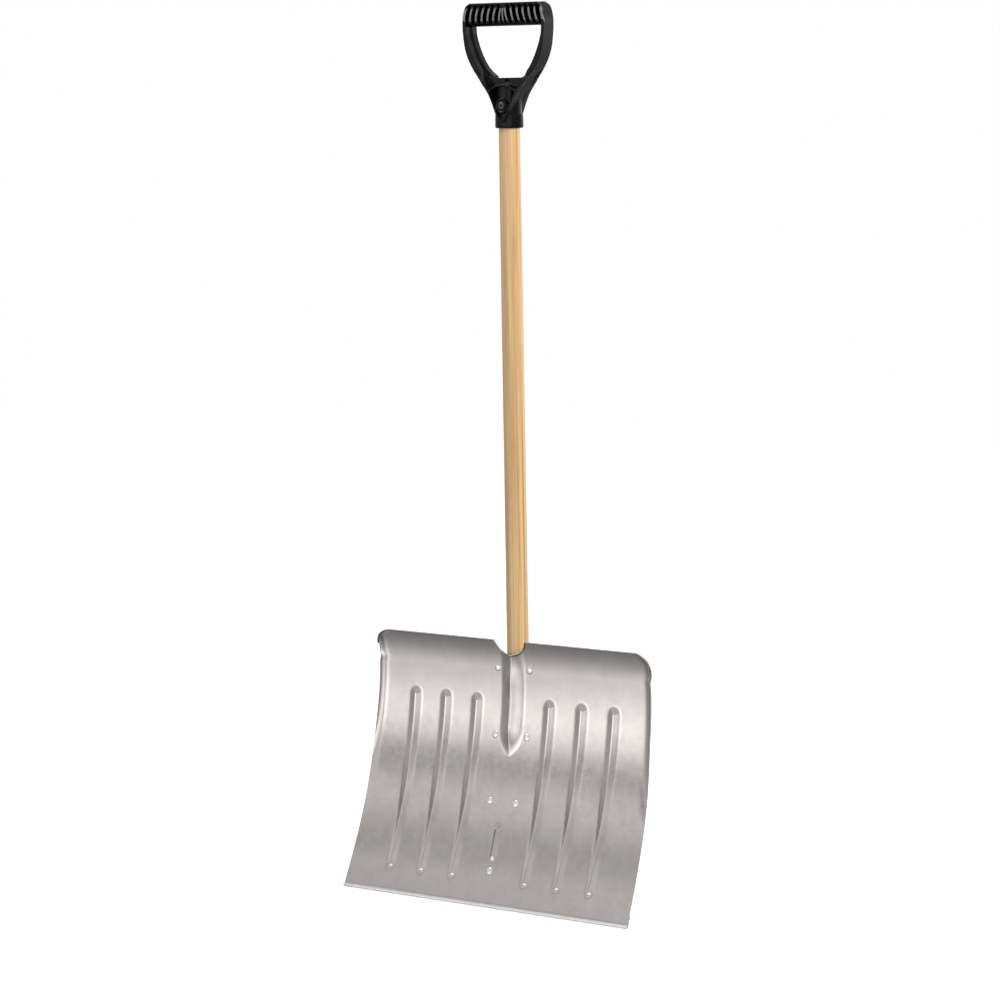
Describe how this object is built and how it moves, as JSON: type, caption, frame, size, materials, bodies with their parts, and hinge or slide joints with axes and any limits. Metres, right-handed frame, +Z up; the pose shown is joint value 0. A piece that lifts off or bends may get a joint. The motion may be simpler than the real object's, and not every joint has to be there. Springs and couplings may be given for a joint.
{
  "type": "snow shovel",
  "caption": "Snow shovel with a curved, ribbed aluminium blade riveted to a straight wooden shaft with a moulded D-grip.",
  "frame": {"origin": "on the shaft's axis, in the flat underside of the grip bar, where a hook would hold the shovel", "axes": "+Z up along the shaft towards the grip, X across the blade, the blade's hollow face towards -Y"},
  "size_m": [0.4578, 0.1332, 1.2237],
  "materials": {
    "aluminium_sheet": "satin, rolled sheet",
    "rivet_aluminium": "bright",
    "galvanised_steel": "galvanised, spangled",
    "plated_steel": "zinc plated",
    "lacquered_softwood": "clear lacquer",
    "black_plastic": "moulded, satin"
  },
  "bodies": {
    "root": {"blade": "aluminium_sheet", "wear_strip": "galvanised_steel", "shaft": "lacquered_softwood", "d_grip": "black_plastic", "grip_rivet": "plated_steel", "grip_washer": "plated_steel", "socket_bracket": "galvanised_steel", "rivet_upper_left": "rivet_aluminium", "rivet_upper_right": "rivet_aluminium", "rivet_lower_left": "rivet_aluminium", "rivet_lower_right": "rivet_aluminium", "rivet_mid_left": "rivet_aluminium", "rivet_mid_right": "rivet_aluminium", "rivet_tail": "rivet_aluminium", "shaft_screw_upper": "plated_steel", "shaft_screw_lower": "plated_steel"}
  },
  "joints": []
}
